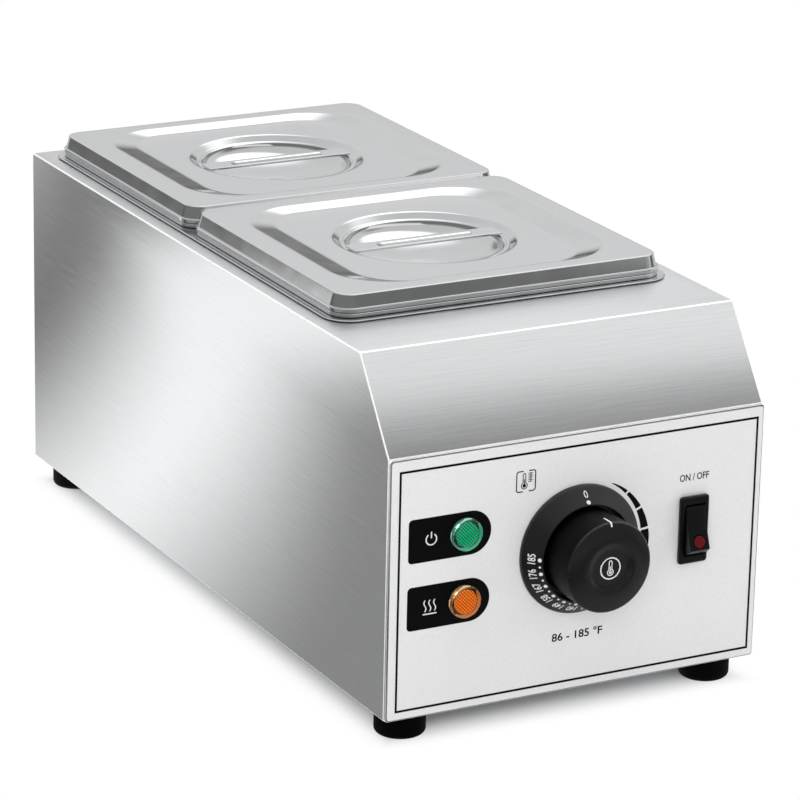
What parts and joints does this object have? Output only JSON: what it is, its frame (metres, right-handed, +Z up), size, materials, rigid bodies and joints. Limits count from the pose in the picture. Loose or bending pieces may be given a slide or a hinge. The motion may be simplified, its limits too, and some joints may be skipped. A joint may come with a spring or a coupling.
{
  "type": "chocolate tempering machine",
  "caption": "Bench-top wet-heat chocolate warmer: long steel housing with a sloped front, lidded pans hung in one water tank, dial, lamps and rocker switch on the front panel.",
  "frame": {"origin": "on the table under the middle of the whole machine", "axes": "+Z up, the control panel faces -Y, the body runs along Y, +X to the right as seen from the front"},
  "size_m": [0.198, 0.4532, 0.1935],
  "materials": {
    "brushed_body_steel": "brushed stainless steel with an even grain",
    "pressed_steel": "pressed stainless steel, satin on the flats and bright on the walls",
    "tank_steel": "deep-drawn stainless steel, smooth",
    "zinc_steel": "zinc-plated steel, dull",
    "panel_film": "printed light grey film with fine grain",
    "black_plastic": "moulded black plastic, satin",
    "white_plastic": "white moulded plastic",
    "cream_plastic": "cream heat-proof plastic",
    "green_lens": "clear green plastic, glossy",
    "amber_lens": "clear amber plastic, glossy",
    "red_lens": "clear dark red plastic, glossy",
    "brass": "turned brass",
    "copper_tube": "drawn copper tube",
    "element_steel": "steel sheath darkened by heat",
    "rubber": "moulded black rubber, matt"
  },
  "bodies": {
    "base": {"housing": "brushed_body_steel", "bottom_plate": "zinc_steel", "water_tank": "tank_steel", "divider_bar": "brushed_body_steel", "control_panel": "brushed_body_steel", "panel_film": "panel_film", "power_lamp_lens": "green_lens", "power_lamp_body": "white_plastic", "power_lamp_nut": "zinc_steel", "heat_lamp_lens": "amber_lens", "heat_lamp_body": "white_plastic", "heat_lamp_nut": "zinc_steel", "dial_bezel": "black_plastic", "thermostat_body": "cream_plastic", "thermostat_screw_lower": "zinc_steel", "thermostat_screw_upper": "zinc_steel", "switch_housing": "black_plastic", "thermostat_capillary": "copper_tube", "bulb_clip": "zinc_steel", "heating_element": "element_steel", "element_gland_left": "brass", "element_gland_right": "brass", "element_nut_left": "brass", "element_nut_right": "brass", "element_support_front": "zinc_steel", "element_support_rear": "zinc_steel", "overheat_limiter": "black_plastic", "terminal_block": "cream_plastic", "cable_gland": "black_plastic", "cable_gland_nut": "black_plastic", "foot_front_left": "rubber", "foot_front_right": "rubber", "foot_rear_left": "rubber", "foot_rear_right": "rubber", "foot_screw_front_left": "zinc_steel", "foot_screw_front_right": "zinc_steel", "foot_screw_rear_left": "zinc_steel", "foot_screw_rear_right": "zinc_steel", "foot_nut_front_left": "zinc_steel", "foot_nut_front_right": "zinc_steel", "foot_nut_rear_left": "zinc_steel", "foot_nut_rear_right": "zinc_steel", "plate_screw_front_left": "zinc_steel", "plate_screw_front_right": "zinc_steel", "plate_screw_rear_left": "zinc_steel", "plate_screw_rear_right": "zinc_steel"},
    "front_pan": {"front_pan": "pressed_steel"},
    "rear_pan": {"rear_pan": "pressed_steel"},
    "front_lid": {"front_lid": "pressed_steel", "front_lid_handle": "pressed_steel"},
    "rear_lid": {"rear_lid": "pressed_steel", "rear_lid_handle": "pressed_steel"},
    "dial": {"control_knob": "black_plastic", "knob_pointer": "white_plastic", "thermostat_spindle": "zinc_steel"},
    "rocker": {"switch_rocker": "black_plastic", "switch_lens": "red_lens"}
  },
  "joints": [
    {"name": "front_pan_lift", "type": "slide", "parent": "base", "child": "front_pan", "axis": [0, 0, 1], "range_m": [0, 0.13]},
    {"name": "rear_pan_lift", "type": "slide", "parent": "base", "child": "rear_pan", "axis": [0, 0, 1], "range_m": [0, 0.13]},
    {"name": "front_lid_lift", "type": "slide", "parent": "front_pan", "child": "front_lid", "axis": [0, 0, 1], "range_m": [0, 0.06]},
    {"name": "rear_lid_lift", "type": "slide", "parent": "rear_pan", "child": "rear_lid", "axis": [0, 0, 1], "range_m": [0, 0.06]},
    {"name": "dial_turn", "type": "hinge", "parent": "base", "child": "dial", "pos_m": [0, -0.2, 0.0832], "axis": [0, 1, 0], "range_deg": [0, 271]},
    {"name": "rocker_tilt", "type": "hinge", "parent": "base", "child": "rocker", "pos_m": [0.0616, -0.19525, 0.0832], "axis": [1, 0, 0], "range_deg": [0, 30]}
  ]
}
